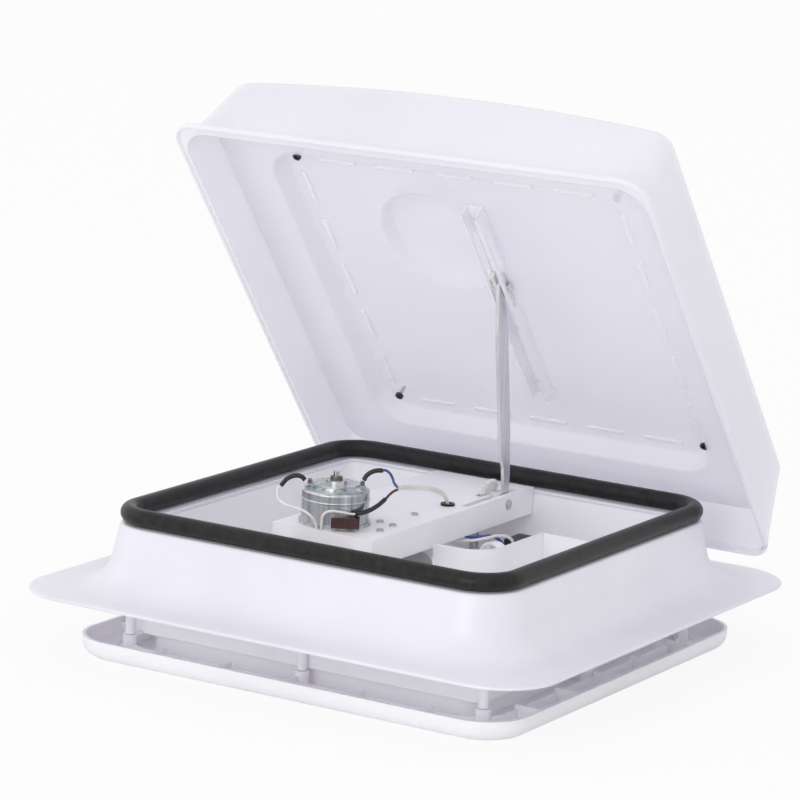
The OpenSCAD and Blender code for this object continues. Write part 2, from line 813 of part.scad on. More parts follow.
// Frame of the insect screen, resting on the trim ring's tabs
module screen_frame() {
  half = opening_half - gap;
  inner = half - 8;
  groove = half - 5 + slack;
  spoke = 4;
  color(white) translate([0, 0, screen_z]) difference() {
    union() {
      linear_extrude(screen_h) difference() {
        rounded(half, half, half - opening_mid);
        rounded(inner, inner, 8);
      }
      pegs([[0, worm_y]], 0, screen_h, screen_ring + 4);
      box([-spoke, worm_y + screen_ring + 2, 0], [spoke, half - 1, screen_h]);
    }
    pegs([[0, worm_y]], -past, screen_h + past, screen_ring);
    translate([0, 0, 1.8]) linear_extrude(0.7) rounded(groove, groove, 8);
  }
}

// Woven screen cloth held in the frame
module insect_screen() {
  half = opening_half - gap - 5;
  color([0.25, 0.26, 0.27]) translate([0, 0, screen_z + 1.9]) linear_extrude(0.5) difference() {
    rounded(half, half, 8);
    translate([0, worm_y]) circle(screen_ring + bite);
  }
}

// Rotary switch of the fan, on the trim ring's corner panel
module switch_body() {
  color(black) translate([switch_x, switch_x, panel_z + plate]) {
    box([-11, -11, 0], [11, 11, 17]);
    pegs([[0, 0]], -plate, bite, switch_neck_r);
    pegs([[0, 0]], -plate - switch_shaft, bite, switch_shaft_r);
  }
}

// Steps of a shoulder, climbing from a wall's top edge; and a list from its end
function climb(edge, way, base, steps) = [for (s = steps) [edge + way * s[0], base + s[1]]];
function from_end(list) = [for (k = [len(list) - 1:-1:0]) list[k]];

// Outer shell of the lid's raised part, drawn in by an amount: leaning sides, front and rear swept about
// the axis of the arched top, corners rounded by cones
module crown(inset) {
  shoulder = [[0, 0], [3, 7], [9, 12.5], [21, 32]];
  rear_shoulder = [[0, 0], [6, 7], [14, 12.5], [26, 32]];
  front_round = 28;
  rear_round = 10;
  proud = 0.4;                         // the cones stand past the walls that cut them
  far = 300;
  sweep = 18;
  foot = crown_foot - inset;
  side = foot - dome_lean * dome_wall_h;
  front = dome_front + inset;
  rear = dome_rear - inset;
  mid_top = dome_wall_top + crown_rise;
  deep = dome_wall_h + 2 * crown_rise;
  tall = lid_side_z + crown_rise - dome_low + past;
  front_x = crown_foot - front_round;
  front_y = dome_front - dome_lean * dome_wall_h + front_round;
  rear_x = crown_foot - rear_round;
  rear_y = dome_rear + rear_lean * dome_wall_h - rear_round;
  front_r = front_round - inset + proud;
  section = concat([[front - dome_lean * deep, mid_top - deep]], climb(front, 1, mid_top, shoulder),
    from_end(climb(rear, -1, mid_top, rear_shoulder)), [[rear + rear_lean * deep, mid_top - deep]]);
  intersection() {
    translate([0, -far, 0]) rotate([-90, 0, 0]) linear_extrude(2 * far) mirror([0, 1])
      polygon(concat([[-foot, dome_low]], climb(-side, 1, dome_wall_top, shoulder),
        from_end(climb(side, -1, dome_wall_top, shoulder)), [[foot, dome_low]]));
    translate([0, 0, arch_z]) rotate([90, 0, 0]) rotate([0, 0, 90 - sweep / 2])
      rotate_extrude(angle = sweep, $fn = 360) polygon([for (p = section) [p[1] - arch_z, -p[0]]]);
    translate([0, -far, arch_z]) rotate([-90, 0, 0]) cylinder(r = arch_r - inset, h = 2 * far, $fn = 360);
    union() {
      box([-front_x, -far, dome_low], [front_x, front_y, far]);
      box([-far, front_y, dome_low], [far, rear_y, far]);
      box([-rear_x, rear_y, dome_low], [rear_x, far, far]);
      for (way = [-1, 1]) {
        translate([way * front_x, front_y, dome_low])
          cylinder(r1 = front_r, r2 = front_r - dome_lean * tall, h = tall);
        translate([way * rear_x, rear_y, dome_low]) cylinder(r = rear_round - inset + proud, h = tall);
      }
    }
  }
}

// Milky dome with a stepped rim band, screw bosses and two hinge knuckles
module lid_dome() {
  rim_corner = 22;
  in_x = lid_half - lid_wall;
  in_y = lid_half_y - lid_wall;
  color(milky) on_lid() difference() {
    union() {
      difference() {
        union() {
          translate([0, lid_mid, lid_rim_z]) linear_extrude(band_h)
            rounded(lid_half, lid_half_y, rim_corner);
          crown(0);
        }
        translate([0, lid_mid, lid_rim_z - past]) linear_extrude(band_h + past - lid_wall)
          rounded(in_x, in_y, rim_corner - lid_wall);
        crown(lid_wall);
      }
      intersection() {
        pegs(lid_screw_places, tray_z + tray_thick, lid_side_z + crown_rise, 5);
        crown(lid_wall / 2);
      }
      for (side = [-1, 1])
        along_x(side * knuckle_x - knuckle_w / 2, side * knuckle_x + knuckle_w / 2) lid_knuckle();
    }
    hinge_bore();
    pegs(lid_screw_places, tray_z, tray_z + 12, screw_r + slack);
  }
}

module lid_knuckle() {
  wing = [5, 4.5];
  rear = lid_rear - 1;
  high = band_top - 1;
  translate([hinge_y, hinge_z]) circle(knuckle_r);
  polygon([[hinge_y - wing[0], hinge_z + wing[1]], [rear - 8, high], [rear, high], [rear, lid_rim_z + 1],
    [hinge_y + wing[0], hinge_z - wing[1]]]);
}

// Inner sheet of the lid: sealing band, raised middle, recess over the motor, stiffening pads
module lid_tray() {
  mid = (tray_front + tray_rear) / 2;
  half_y = (tray_rear - tray_front) / 2;
  step_r = 30;
  tray_corner = 24;
  pad_pitch = 56;
  pad = [36, 4, 3];
  pad_mid = 3;
  step = tray_step - bite;
  color(milky) on_lid() difference() {
    union() {
      translate([0, 0, seal_z]) linear_extrude(tray_thick) difference() {
        translate([0, mid]) rounded(tray_half, half_y, tray_corner);
        rounded(tray_step - tray_thick, tray_step - tray_thick, step_r - tray_thick);
      }
      translate([0, 0, seal_z]) linear_extrude(tray_z + tray_thick - seal_z) difference() {
        rounded(tray_step, tray_step, step_r);
        rounded(tray_step - tray_thick, tray_step - tray_thick, step_r - tray_thick);
      }
      translate([0, 0, tray_z]) linear_extrude(tray_thick) rounded(step, step, step_r - bite);
      pegs([[motor_x, motor_y]], tray_z, cup_top, cup_r);
      for (k = [-2:2], side = [-1, 1]) {
        translate([side * lid_screw_x, pad_mid + k * pad_pitch, tray_z])
          rotate([0, 0, 90]) cube(pad, center = true);
        translate([k * pad_pitch, pad_mid + side * (lid_screw_x - 3), tray_z]) cube(pad, center = true);
      }
    }
    pegs([[motor_x, motor_y]], tray_z - pad[2], cup_top - tray_thick, cup_r - tray_thick);
    pegs(lid_screw_places, tray_z - pad[2], tray_z + pad[2], screw_r + slack);
    pegs(track_screw_places, tray_z - pad[2], tray_z + pad[2], screw_r + slack);
  }
}

// Dark screws of the tray
module lid_screws() {
  color(dark) on_lid() for (p = lid_screw_places)
    translate([p[0], p[1], tray_z])
      mirror([0, 0, 1]) screw(screw_head + 0.5, 2, screw_r, tray_thick + 8);
}

// Channel under the tray; the arm's pin runs in the slots of its walls
module slide_track() {
  slot_half = pin_r + play;
  out = track_in + track_wall;
  color(milky) on_lid() difference() {
    box([arm_x - out, track_front, track_low], [arm_x + out, track_rear, tray_z]);
    box([arm_x - track_in, track_front - past, track_low - past],
      [arm_x + track_in, track_rear + past, tray_z - track_web]);
    along_x(arm_x - out - past, arm_x + out + past) {
      translate([slot_front, pin_z - slot_half]) square([slot_rear - slot_front, 2 * slot_half]);
      translate([slot_front, pin_z]) circle(slot_half);
      translate([slot_rear, pin_z]) circle(slot_half);
    }
    pegs(track_screw_places, tray_z - track_web - past, tray_z + past, screw_r + slack);
  }
}

// Screws of the track
module track_screws() {
  color(zinc) on_lid() for (p = track_screw_places)
    translate([p[0], p[1], tray_z - track_web])
      mirror([0, 0, 1]) screw(screw_head, 1.5, screw_r, tray_thick + 3.5);
}

// Flat bar: round root on the pivot, neck through the bridge, blade, narrow tip under the tray
module lift_arm() {
  color(zinc) on_arm(arm_x - arm_thick / 2, arm_x + arm_thick / 2) difference() {
    union() {
      circle(hub_r);
      polygon([[0, -8], [9, 3.5], [30, 3.5], [44, -1.8], [60, -2], [150, -6], [arm_len, -5],
        [arm_len + 4, -3], [arm_len + 4.5, 1], [arm_len + 2, 3.2], [arm_len - 4, 3.4], [150, 10],
        [60, 14], [24, 13.5], [8, 12], [-4, 8]]);
    }
    circle(pivot_r + slack);
    translate([arm_len, 0]) circle(pin_r + slack);
    for (p = rivet_places)
      translate(p) circle(rivet_r + slack);
  }
}

// Toothed nylon sector beside the arm's root, riveted to it
module gear_sector() {
  step = 360 / sector_teeth;
  root = sector_r - tooth_down;
  tip = sector_r + tooth_up;
  wide = tooth_half + tooth_down * flank;
  narrow = tooth_half - tooth_up * flank;
  color(white) difference() {
    union() {
      translate([0, pivot_y, pivot_z]) along_x(-sector_w / 2, sector_w / 2) {
        circle(hub_r);
        intersection() {
          circle(root);
          polygon([for (a = [-38:18:124]) 1.4 * root * [-cos(a), sin(a)], [0, 0]]);
        }
        for (k = [-2:7])
          rotate(180 - k * step) polygon([[root - bite, -wide], [root, -wide], [tip, -narrow], [tip, narrow],
            [root, wide], [root - bite, wide]]);
      }
      translate([0, pivot_y, pivot_z]) along_x(sector_w / 2 - bite, arm_x - arm_thick / 2) circle(hub_r);
    }
    along_x(-arm_x, 2 * arm_x) translate([pivot_y, pivot_z]) circle(pivot_r + slack);
    on_arm(-arm_x, 2 * arm_x) for (p = rivet_places)
      translate(p) circle(rivet_r + slack);
  }
}

// Rivets that tie sector and arm together
module arm_rivets() {
  end = arm_x + arm_thick / 2;
  color(zinc) {
    on_arm(-sector_w / 2 - 0.2, end + 0.2) for (p = rivet_places)
      translate(p) circle(rivet_r);
    on_arm(end, end + 1) for (p = rivet_places)
      translate(p) circle(rivet_r + 0.9);
    on_arm(-sector_w / 2 - 1, -sector_w / 2) for (p = rivet_places)
      translate(p) circle(rivet_r + 0.9);
  }
}

// Nylon shoes either side of the arm's tip; they keep in line with the track
module slide_shoes() {
  shoe_half = 11;
  shoe_r = 2.9;
  inner = arm_thick / 2 + 0.3;
  outer = track_in - 0.5;
  color([0.82, 0.82, 0.85]) translate([arm_x, tip_y, tip_z]) rotate([-lid_open, 0, 0])
    for (side = [-1, 1]) difference() {
      along_x(side > 0 ? inner : -outer, side > 0 ? outer : -inner) {
        square([2 * shoe_half, 2 * shoe_r], center = true);
        for (end = [-1, 1])
          translate([end * shoe_half, 0]) circle(shoe_r);
      }
      along_x(-2 * outer, 2 * outer) circle(pin_r - 0.6 + slack);
    }
}

// Bright pin through arm, shoes and the track's slots
module tip_pin() {
  end = track_in + track_wall + 0.6;
  color(bright) translate([arm_x, tip_y, tip_z]) {
    along_x(-arm_thick / 2 - 0.2, arm_thick / 2 + 0.2) circle(pin_r);
    along_x(-end, end) circle(pin_r - 0.6);
    for (side = [-1, 1])
      translate([side * (end + 0.7), 0, 0]) along_x(-0.7, 0.7) circle(pin_r + 1.4);
  }
}

// Upright shaft with a single-start worm at its top and a square foot for the knob
module crank_shaft() {
  turns = 2;
  steps = 20;
  count = turns * steps;
  root_r = worm_r - tooth_down + 0.1;
  lead = tooth_pitch;
  root_half = tooth_half + tooth_down * flank;
  tip_half = tooth_half - tooth_up * flank;
  start_z = pivot_z - 1.5 * lead;
  foot = knob_low + 6;
  worm_low = 38;
  sunk_r = root_r - 0.8;
  tip_r = worm_r + tooth_up;
  ridge = [[sunk_r, root_half], [tip_r, tip_half], [tip_r, -tip_half], [sunk_r, -root_half]];
  thread = [for (i = [0:count], q = ridge)
    let (a = 90 + 360 * i / steps, z = start_z + lead * i / steps)
      [q[0] * cos(a), worm_y + q[0] * sin(a), z + q[1]]];
  skin = [for (i = [0:count - 1], k = [0:3], half = [0, 1])
    let (n = (k + 1) % 4, a = 4 * i)
      half == 0 ? [a + k, a + 4 + k, a + 4 + n] : [a + k, a + 4 + n, a + n]];
  start = [[0, 1, 2, 3]];
  end = [[for (k = [3:-1:0]) 4 * count + k]];
  color(zinc) {
    pegs([[0, worm_y]], foot, worm_high, crank_r);
    pegs([[0, worm_y]], worm_low, worm_high, root_r);
    polyhedron(thread, concat(skin, start, end));
  }
}

// Round knob with a slot for the handle
module crank_knob() {
  rim_low = knob_low + 3;
  slot_half = 5;
  slot_top = knob_low + 6.4;
  color(white) difference() {
    translate([0, worm_y, 0]) {
      pegs([[0, 0]], rim_low, knob_top, knob_r);
      pegs([[0, 0]], knob_top - bite, knob_top + 4, 9);
      for (turn = [0:20:340])
        rotate([0, 0, turn]) pegs([[knob_r, 0]], rim_low, knob_top, 1.2);
    }
    pegs([[0, worm_y]], knob_low + 6, knob_top + 5, crank_r + slack);
    box([-slot_half, worm_y - knob_r - 4, knob_low - past], [slot_half, worm_y + knob_r - 5, slot_top]);
    along_x(-knob_r - 3, knob_r + 3) translate([handle_y, handle_z]) circle(1 + slack);
  }
}

// Fold-out handle, lying in the knob's slot
module crank_handle() {
  thick = 2.6;
  half = 4.5;
  grip_r = 4;
  color(white) translate([0, handle_y, handle_z]) {
    along_x(-2 * half, 2 * half) circle(1);
    box([-half, -thick / 2, -thick / 2], [half, handle_len - thick / 2, thick / 2]);
    pegs([[0, handle_len - 9]], -3.5, -0.5, grip_r);
  }
}

// Shaft through motor and fan
module motor_shaft() {
  color(bright) pegs([[motor_x, motor_y]], fan_low - 9, can_top + 14, shaft_r);
}

// Fan wheel: cup hub and curved blades
module fan_rotor() {
  cup = 18;
  blade = 1.6;
  curve_r = 60;
  pitch = -24;
  color([0.9, 0.9, 0.91]) translate([motor_x, motor_y, fan_low]) difference() {
    union() {
      difference() {
        cylinder(r = cup, h = fan_h);
        translate([0, 0, 3]) cylinder(r = cup - 2, h = fan_h);
      }
      cylinder(r = 6, h = fan_h);
      for (k = [0:blade_count - 1])
        rotate([0, 0, k * 360 / blade_count]) intersection() {
          translate([cup - 1, -40, 0]) rotate([pitch, 0, 0])
            translate([0, 40, fan_h / 2 - curve_r + 21]) rotate([0, 90, 0]) difference() {
              cylinder(r = curve_r, h = fan_r);
              translate([0, 0, -past]) cylinder(r = curve_r - blade, h = fan_r + 2 * past);
            }
          linear_extrude(fan_h) intersection() {
            circle(fan_r);
            polygon([[0, 0], [cup, -6], [fan_r + 5, -34], [fan_r + 12, 30], [cup, 6]]);
          }
        }
    }
    pegs([[0, 0]], -past, fan_h + past, shaft_r + slack);
  }
}

// Nut under the fan's hub
module fan_nut() {
  color(zinc) translate([motor_x, motor_y, fan_low - 5]) difference() {
    cylinder(r = 5, h = 5, $fn = 6);
    pegs([[0, 0]], -past, 5 + past, shaft_r + slack);
  }
}

// Ribbed knob of the fan switch
module speed_knob() {
  r = 11;
  high = switch_shaft + 1.4;
  floor_thick = 1.7;
  pointer = [3, 12, 6];
  color([0.25, 0.25, 0.27]) translate([switch_x, switch_x, panel_z - switch_shaft - 2]) difference() {
    union() {
      cylinder(r = r, h = high);
      translate([-pointer[0] / 2, -r - 2, 0]) cube(pointer);
    }
    pegs([[0, 0]], floor_thick, high + past, switch_shaft_r + slack);
  }
}

roof_flange();
duct_liner();
rim_gasket();
hinge_pins();
fan_deck();
deck_screws();
motor_bridge();
bridge_screws();
crank_bracket();
motor_can();
motor_end_cap();
motor_bush();
motor_terminals();
motor_screws();
suppressor_block();
lead_white_left();
lead_white_front();
lead_red();
lead_blue();
lead_sleeves();
feed_cable();
cable_grommet();
box_lead_blue();
box_lead_white();
box_strap();
terminal_block();
pivot_pin();
crank_bush();
trim_ring();
trim_screws();
screen_frame();
insect_screen();
switch_body();
lid_dome();
lid_tray();
lid_screws();
slide_track();
track_screws();
lift_arm();
gear_sector();
arm_rivets();
slide_shoes();
tip_pin();
crank_shaft();
crank_knob();
crank_handle();
motor_shaft();
fan_rotor();
fan_nut();
speed_knob();
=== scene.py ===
# Caravan roof vent with a fan, lid open: the moulded base, its rubber seal, the motor on its bridge,
# the crank lift and the milky lid, in the order in which such a vent is put together.
# Sizes are in millimetres and become metres where a mesh, a curve or a node takes them.
import math

import bmesh
import bpy
from mathutils import Matrix, Vector


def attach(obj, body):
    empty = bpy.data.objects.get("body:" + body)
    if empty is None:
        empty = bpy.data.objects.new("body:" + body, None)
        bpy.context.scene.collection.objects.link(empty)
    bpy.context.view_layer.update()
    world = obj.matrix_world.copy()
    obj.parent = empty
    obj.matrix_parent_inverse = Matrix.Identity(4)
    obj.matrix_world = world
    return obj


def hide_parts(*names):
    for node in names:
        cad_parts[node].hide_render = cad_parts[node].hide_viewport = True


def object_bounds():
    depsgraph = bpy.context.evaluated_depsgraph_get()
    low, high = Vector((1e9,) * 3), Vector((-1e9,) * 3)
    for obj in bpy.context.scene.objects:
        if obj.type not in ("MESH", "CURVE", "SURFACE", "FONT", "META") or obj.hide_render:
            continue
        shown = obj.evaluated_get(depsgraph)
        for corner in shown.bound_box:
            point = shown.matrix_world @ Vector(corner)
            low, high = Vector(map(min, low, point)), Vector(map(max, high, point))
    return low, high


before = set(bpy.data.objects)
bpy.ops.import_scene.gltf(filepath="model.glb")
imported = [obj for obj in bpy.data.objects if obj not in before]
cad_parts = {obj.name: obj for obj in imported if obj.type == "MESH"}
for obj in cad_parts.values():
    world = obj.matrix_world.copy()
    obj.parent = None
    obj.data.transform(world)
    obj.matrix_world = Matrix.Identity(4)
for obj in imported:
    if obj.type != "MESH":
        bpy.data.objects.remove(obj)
cad_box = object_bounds()

# Roof flange: flange, hollow skirt and collar in one piece, with four ears for the lid's hinge.
# White ABS, injection moulded, bedded in sealant on the roof. Every edge of the tool is rounded.
mm = 0.001


def linear(hex_colour):
    parts = [int(hex_colour[i:i + 2], 16) / 255 for i in (1, 3, 5)]
    return [c / 12.92 if c <= 0.04045 else ((c + 0.055) / 1.055) ** 2.4 for c in parts] + [1]


def add_node(tree, kind, settings={}, links={}):
    made = tree.nodes.new("ShaderNode" + kind)
    for key, value in settings.items():
        if key in made.inputs:
            made.inputs[key].default_value = value
        else:
            setattr(made, key, value)
    for socket, source in links.items():
        tree.links.new(source, made.inputs[socket])
    return made


def start_material(name, settings):
    made = bpy.data.materials.new(name)
    made.use_nodes = True
    tree = made.node_tree
    shader = tree.nodes["Principled BSDF"]
    for socket, value in settings.items():
        shader.inputs[socket].default_value = value
    place = add_node(tree, "TexCoord").outputs["Object"]
    return made, tree, shader, place


# The scale of a pattern whose marks are a given size apart
def per_mm(size):
    return 1000 / size


# Colour and gloss follow one pattern, whose values lie mostly from 0.3 to 0.7. A second pattern may
# give a relief, with its depth in millimetres, over edges rounded to a radius.
def shade(tree, shader, pattern, dull, pale, roughness, height=None, strength=0, depth=0.1, edge=0):
    tint = add_node(tree, "ValToRGB", {}, {"Fac": pattern})
    for end, position, colour in zip(tint.color_ramp.elements, (0.3, 0.7), (dull, pale)):
        end.position = position
        end.color = linear(colour)
    gloss = add_node(tree, "MapRange", {"To Min": roughness[0], "To Max": roughness[1]}, {"Value": pattern})
    tree.links.new(tint.outputs["Color"], shader.inputs["Base Color"])
    tree.links.new(gloss.outputs["Result"], shader.inputs["Roughness"])
    if height is None:
        return
    ground = {"Height": height}
    if edge:
        ground["Normal"] = add_node(tree, "Bevel", {"samples": 4, "Radius": edge * mm}).outputs["Normal"]
    relief = add_node(tree, "Bump", {"Strength": strength, "Distance": depth * mm}, ground)
    tree.links.new(relief.outputs["Normal"], shader.inputs["Normal"])


# A square with rounded corners at one height: steps in each corner's arc, points between on each side
def rounded_ring(half_x, front, rear, corner, z, arc=8, side=6, front_corner=None):
    ring = []
    for x, y, start in ((1, 1, 0), (-1, 1, 90), (-1, -1, 180), (1, -1, 270)):
        radius = corner if y > 0 or front_corner is None else front_corner
        middle = Vector((x * (half_x - radius), rear - radius if y > 0 else front + radius))
        for k in range(arc + 1):
            turn = math.radians(start + 90 * k / arc)
            ring.append(Vector((middle.x + radius * math.cos(turn), middle.y + radius * math.sin(turn), z)))
    count = arc + 1
    full = []
    for k in range(4):
        full += ring[k * count:(k + 1) * count]
        last, following = ring[(k + 1) * count - 1], ring[(k + 1) * count % len(ring)]
        full += [last.lerp(following, (n + 1) / (side + 1)) for n in range(side)]
    return full


# A skin over a row of rings with equally many points
def loft(mesh, rings, closed=False, caps=False):
    rows = [[mesh.verts.new(p * mm) for p in ring] for ring in rings]
    count = len(rows[0])
    for low, high in zip(rows, rows[1:] + rows[:1] if closed else rows[1:]):
        for k in range(count):
            mesh.faces.new((low[k], low[(k + 1) % count], high[(k + 1) % count], high[k]))
    if caps:
        mesh.faces.new(rows[0][::-1])
        mesh.faces.new(rows[-1])


# Rounds a cross-section's edges. Each point: half width, height, corner radius in plan, edge radius.
def softened(section):
    steps, most = 3, 0.45
    soft = []
    for k, (half, z, corner, radius) in enumerate(section):
        here = Vector((half, z, corner))
        if radius == 0:
            soft.append(here)
            continue
        before = Vector(section[k - 1][:3])
        after = Vector(section[(k + 1) % len(section)][:3])
        start = here + (before - here) * min(most, radius / (before - here).xy.length)
        end = here + (after - here) * min(most, radius / (after - here).xy.length)
        for n in range(steps + 1):
            t = n / steps
            soft.append(start * (1 - t) ** 2 + here * 2 * t * (1 - t) + end * t ** 2)
    return soft


# A slab with an outline in Y and Z, drawn out along X, the rims of its two faces rounded
def prism(mesh, outline, low_x, high_x):
    rim_round, flat = 0.8, 0.001
    part = bmesh.new()
    sides = [[part.verts.new((x * mm, y * mm, z * mm)) for y, z in outline] for x in (low_x, high_x)]
    part.faces.new(sides[0][::-1])
    part.faces.new(sides[1])
    for k in range(len(outline)):
        n = (k + 1) % len(outline)
        part.faces.new((sides[0][k], sides[0][n], sides[1][n], sides[1][k]))
    rims = [e for e in part.edges if abs(e.verts[0].co.x - e.verts[1].co.x) < flat * mm]
    bmesh.ops.bevel(part, geom=rims, offset=rim_round * mm, segments=2, profile=0.5, affect="EDGES")
    scrap = bpy.data.meshes.new("scrap")
    part.to_mesh(scrap)
    part.free()
    mesh.from_mesh(scrap)
    bpy.data.meshes.remove(scrap)


# Points on a circle about the hinge's axis
def about_hinge(radius, first, last):
    turns = [math.radians(angle) for angle in range(first, last + 1, 15)]
    return [(hinge_y + radius * math.cos(turn), hinge_z + radius * math.sin(turn)) for turn in turns]


# Makes a mesh a piece, with its finish and body and the CAD nodes that it stands for
def finish_piece(name, mesh, finish, slot, body, *nodes):
    weld, crease = 0.001, 35
    bmesh.ops.remove_doubles(mesh, verts=mesh.verts, dist=weld * mm)
    bmesh.ops.recalc_face_normals(mesh, faces=mesh.faces)
    data = bpy.data.meshes.new(name)
    mesh.to_mesh(data)
    mesh.free()
    data.shade_smooth()
    data.set_sharp_from_angle(angle=math.radians(crease))
    data.materials.append(finish)
    piece = bpy.data.objects.new(name, data)
    bpy.context.scene.collection.objects.link(piece)
    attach(piece, body)
    if nodes:
        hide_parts(*nodes)
    return piece


# Moulded ABS with a satin grain from the eroded tool: even, slightly cool white, a soft broad sheen,
# faint flow clouds. The grain, about 0.05 mm, is drawn at 1.2 mm so that it shows at all. One ABS in two
# copies: the base's copy is a little darker, painted shade under the full lamps, and the pieces inside
# get a whiter copy, painted light for the light that reaches them less.
white = {}
for name, dull, pale in (("outside_painted_darker", "#e2e0ea", "#e9e7f0"), ("inside_painted_whiter", "#f5f4f7", "#faf9fb")):
    white[name], tree, shader, place = start_material("ABS_moulded_" + name, {"IOR": 1.53})
    clouds = add_node(tree, "TexNoise", {"Scale": per_mm(90), "Detail": 3}, {"Vector": place})
    grain = add_node(tree, "TexNoise", {"Scale": per_mm(1.2), "Detail": 2}, {"Vector": place})
    shade(tree, shader, clouds.outputs["Fac"], dull, pale, (0.3, 0.38), grain.outputs["Fac"], 0.06, edge=0.8)

flange_half, flange_thick, flange_corner = 239, 3, 50
corner_mid = 146
skirt_foot, skirt_r, skirt_wall, skirt_arc, skirt_steps = 222, 33, 3.05, 75.96, 12
skirt_axis_z = flange_thick + skirt_r
collar_half, collar_top, collar_under, collar_inside = 184, 55.5, 52.5, 181.6
bead_out, bead_in, bead_top = 178.2, 175.8, 61
duct_half, duct_corner = 165, 8


# A point of the cross-section, its corner struck from the centre that collar and skirt share
def on_corner(half, z, edge_radius):
    return half, z, half - corner_mid, edge_radius


inside, outside = [], []
for k in range(skirt_steps + 1):
    turn = math.radians(270 - skirt_arc * k / skirt_steps)
    for radius, row in ((skirt_r, outside), (skirt_r + skirt_wall, inside)):
        row.append(on_corner(skirt_foot + radius * math.cos(turn), skirt_axis_z + radius * math.sin(turn), 0))
section = [(flange_half, 0, flange_corner, 1), (flange_half, flange_thick, flange_corner, 1.6)]
section += outside
section += [on_corner(collar_half, collar_top, 2.5), on_corner(bead_out, collar_top, 0.4),
            on_corner(bead_out, bead_top, 0.6), on_corner(bead_in, bead_top, 0.6),
            on_corner(bead_in, collar_top, 0.4), (duct_half, collar_top, duct_corner, 1.2),
            (duct_half, collar_under, duct_corner, 0.5), on_corner(collar_inside, collar_under, 0.5)]
section += inside[::-1]
mesh = bmesh.new()
rings = [rounded_ring(half, -half, half, corner, z, arc=16) for half, z, corner in softened(section)]
loft(mesh, rings, closed=True)

hinge_y, hinge_z, knuckle_r, knuckle_x = 200.7, 28.5, 7, 120
ear_foot, ear_w, ear_off = 2.5, 5, 10
ear_root = (188.5, 26)
ear = [(hinge_y + 9, ear_foot)] + about_hinge(knuckle_r, 0, 180) + [ear_root, (hinge_y + 6, ear_foot)]
for middle in (-knuckle_x, knuckle_x):
    for x in (middle - ear_off, middle + ear_off):
        prism(mesh, ear, x - ear_w / 2, x + ear_w / 2)
# The flange takes the ABS copy painted a little darker, as painted shade.
finish_piece("flange_moulding", mesh, white["outside_painted_darker"], "white_moulding", "base", "roof_flange")


# Duct liner: duct wall, ledge, neck through the roof and the posts of the trim screws. The same ABS,
# moulded apart and welded under the collar.
def dress(finish, *nodes):
    for name in nodes:
        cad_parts[name].material_slots[0].material = finish


# The liner takes the whiter ABS copy, painted light for the shade inside the vent.
dress(white["inside_painted_whiter"], "duct_liner")

# Rim seal and cable grommet: a hollow bulb strip pushed on to the collar's bead, and a ring in the
# bridge where the cable goes through. EPDM rubber, the strip extruded.
# Extruded EPDM: soft black with a waxy sheen along the top, dulled unevenly by dust in patches of 6 mm.
# The die's drawn lines are too fine to see; pores are drawn at 0.9 mm to show.
rubber, tree, shader, place = start_material("EPDM_extruded", {"IOR": 1.5, "Specular IOR Level": 0.24})
dust = add_node(tree, "TexNoise", {"Scale": per_mm(6), "Detail": 4}, {"Vector": place})
pores = add_node(tree, "TexNoise", {"Scale": per_mm(0.9), "Detail": 2}, {"Vector": place})
shade(tree, shader, dust.outputs["Fac"], "#1b191a", "#292728", (0.3, 0.42), pores.outputs["Fac"], 0.12)
dress(rubber, "rim_gasket", "cable_grommet")

# Fan deck and motor bridge with strap: floor over the neck, compartment wall, and the platform that
# carries motor, arm and crank. White ABS mouldings, screwed to the liner.
# These take the whiter ABS copy, painted light for the shade inside the vent.
dress(white["inside_painted_whiter"], "fan_deck", "motor_bridge", "crank_bracket", "box_strap")

# Screws, pins, rivets and the crank's shaft: turned and rolled mild steel, bright zinc plated, driven or
# pressed into the mouldings and bars that they hold.
# Zinc plate: pale blue-grey metal, mottled softly where the bath plated unevenly, in crystals of 5 mm
# and clouds of 9 mm.
zinc, tree, shader, place = start_material("steel_zinc_plated", {"Metallic": 1})
spangle = add_node(tree, "TexVoronoi", {"Scale": per_mm(5)}, {"Vector": place})
cloud = add_node(tree, "TexNoise", {"Scale": per_mm(9), "Detail": 5}, {"Vector": place})
mottle = add_node(tree, "Mix", {"data_type": "FLOAT", "Factor": 0.75},
                  {2: spangle.outputs["Distance"], 3: cloud.outputs["Fac"]})
shade(tree, shader, mottle.outputs[0], "#b2b6bb", "#cdd0d3", (0.3, 0.46),
      cloud.outputs["Fac"], 0.05, edge=0.4)
dress(zinc, "hinge_pins", "deck_screws", "motor_screws", "pivot_pin", "trim_screws", "track_screws",
      "arm_rivets", "crank_shaft", "fan_nut", "bridge_screws")

# Lid screws: four cross-head screws that hold the tray to the dome. Rolled steel, blackened in a hot
# oxide bath.
# Black oxide: dark brown-black with an oily low sheen, greyer in spots of 1.5 mm where the driver rubbed.
oxide, tree, shader, place = start_material("steel_black_oxide", {"Metallic": 0.7})
rub = add_node(tree, "TexNoise", {"Scale": per_mm(1.5), "Detail": 4}, {"Vector": place})
shade(tree, shader, rub.outputs["Fac"], "#2a2a2e", "#4a4a50", (0.35, 0.55))
dress(oxide, "lid_screws")

# Motor can: deep drawn from sheet steel and plated, held to the bridge from below by two screws.
# The pressed end cap closes it at the top.
# Drawn and plated sheet: bright, with streaks along the draw. They start 5 mm apart and get finer, and
# each is about thirty times as long as wide.
can_metal, tree, shader, place = start_material("steel_drawn_plated", {"Metallic": 1})
squeeze = add_node(tree, "Mapping", {"Scale": (1, 1, 0.03)}, {"Vector": place})
streaks = add_node(tree, "TexNoise", {"Scale": per_mm(5), "Detail": 4}, {"Vector": squeeze.outputs["Vector"]})
shade(tree, shader, streaks.outputs["Fac"], "#9b9fa3", "#dddfe1", (0.22, 0.4),
      streaks.outputs["Fac"], 0.1, depth=0.2)
dress(can_metal, "motor_can")

